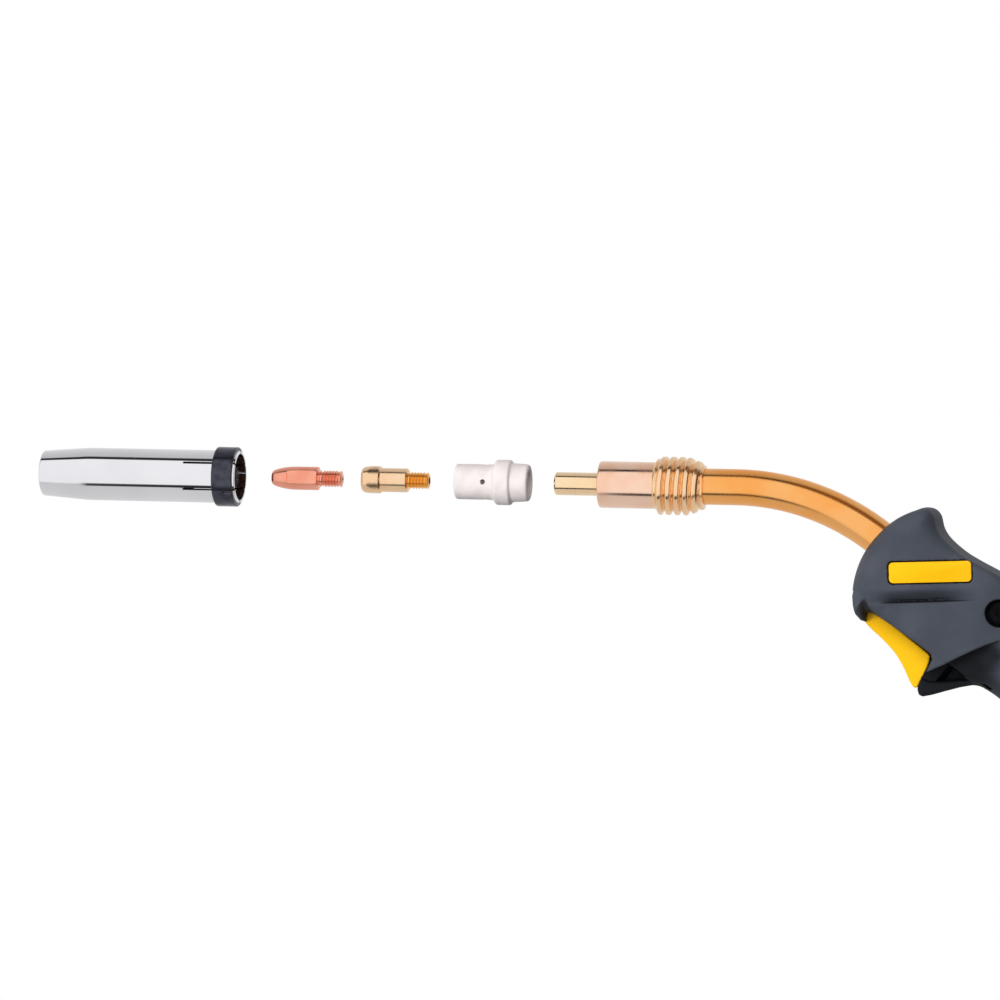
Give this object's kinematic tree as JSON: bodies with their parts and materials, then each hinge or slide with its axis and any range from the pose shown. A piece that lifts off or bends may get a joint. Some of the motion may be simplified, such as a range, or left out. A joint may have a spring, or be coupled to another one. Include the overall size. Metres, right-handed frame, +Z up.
{
  "type": "mig welding torch",
  "caption": "Swan-neck gas-cooled MIG welding torch with trigger handle; nozzle, tip, adaptor and diffuser are drawn off in line and slide back to their seats.",
  "frame": {"origin": "middle of the cable inlet's rear face, at the rear end of the handle", "axes": "+X from the gas nozzle to the handle along the neck's level front axis, +Z up on the side away from the trigger, +Y to the handle's right side seen along +X; the handle slopes 37 degrees down to the rear"},
  "size_m": [0.4498, 0.042, 0.1497],
  "materials": {
    "chromed_copper": "polished chrome plating",
    "blackened_steel": "black spring steel, satin",
    "tip_copper": "turned copper, salmon",
    "adaptor_brass": "turned brass",
    "white_ceramic": "unglazed white ceramic",
    "neck_copper": "smooth lacquered copper",
    "tube_brass": "turned brass",
    "liner_steel": "drawn wire",
    "spring_steel": "drawn wire",
    "zinc_steel": "zinc plated",
    "tinned_contacts": "tinned",
    "insulating_plastic": "brown insulating plastic",
    "black_rubber": "matt",
    "black_plastic": "moulded, matt",
    "slate_plastic": "moulded, fine grain, matt",
    "yellow_plastic": "moulded, satin",
    "label_yellow": "printed plate, bare, satin",
    "red_plastic": "moulded",
    "lead_sheath": "soft sheath",
    "white_plastic": "moulded"
  },
  "bodies": {
    "torch": {"nozzle_sleeve": "neck_copper", "front_insulator": "insulating_plastic", "outer_tube": "neck_copper", "neck_insulation": "insulating_plastic", "inner_tube": "tube_brass", "wire_liner": "liner_steel", "neck_holder": "insulating_plastic", "holder_screws": "zinc_steel", "power_block": "tube_brass", "power_block_cover": "insulating_plastic", "neck_grommet": "black_rubber", "handle_shell_left": "slate_plastic", "handle_shell_right": "slate_plastic", "trigger_pin": "zinc_steel", "trigger_spring": "spring_steel", "microswitch_case": "black_plastic", "switch_pins": "zinc_steel", "switch_terminals": "tinned_contacts", "switch_leads": "lead_sheath", "lead_connector": "white_plastic", "connector_pins": "tinned_contacts", "rear_collar": "black_plastic", "cable_inlet_bush": "black_plastic", "shell_screws": "zinc_steel", "shell_inserts": "tube_brass", "label_plate_left": "label_yellow", "label_plate_right": "label_yellow"},
    "nozzle": {"gas_nozzle": "chromed_copper", "nozzle_clamp_ring": "blackened_steel"},
    "diffuser": {"gas_diffuser": "white_ceramic"},
    "adaptor": {"tip_adaptor": "adaptor_brass"},
    "tip": {"contact_tip": "tip_copper"},
    "trigger_lever": {"trigger": "yellow_plastic"},
    "plunger": {"switch_plunger": "red_plastic"}
  },
  "joints": [
    {"name": "nozzle_slide", "type": "slide", "parent": "torch", "child": "nozzle", "axis": [1, 0, 0], "range_m": [0, 0.1454]},
    {"name": "diffuser_slide", "type": "slide", "parent": "torch", "child": "diffuser", "axis": [1, 0, 0], "range_m": [0, 0.0307]},
    {"name": "adaptor_slide", "type": "slide", "parent": "diffuser", "child": "adaptor", "axis": [1, 0, 0], "range_m": [0, 0.021]},
    {"name": "tip_slide", "type": "slide", "parent": "adaptor", "child": "tip", "axis": [1, 0, 0], "range_m": [0, 0.0156]},
    {"name": "trigger_hinge", "type": "hinge", "parent": "torch", "child": "trigger_lever", "pos_m": [-0.14608, 0, 0.08729], "axis": [0, -1, 0], "range_deg": [0, 5.5], "stiffness_Nm_per_rad": 0.6, "springref_deg": -4.01, "deforming": ["trigger_spring"]},
    {"name": "plunger_slide", "type": "slide", "parent": "torch", "child": "plunger", "axis": [0.6018, 0, 0.7986], "range_m": [0, 0.00125]}
  ],
  "couplings": [
    {"joint": "plunger_slide", "follows": "trigger_hinge", "m_per_rad": 0.0128}
  ]
}
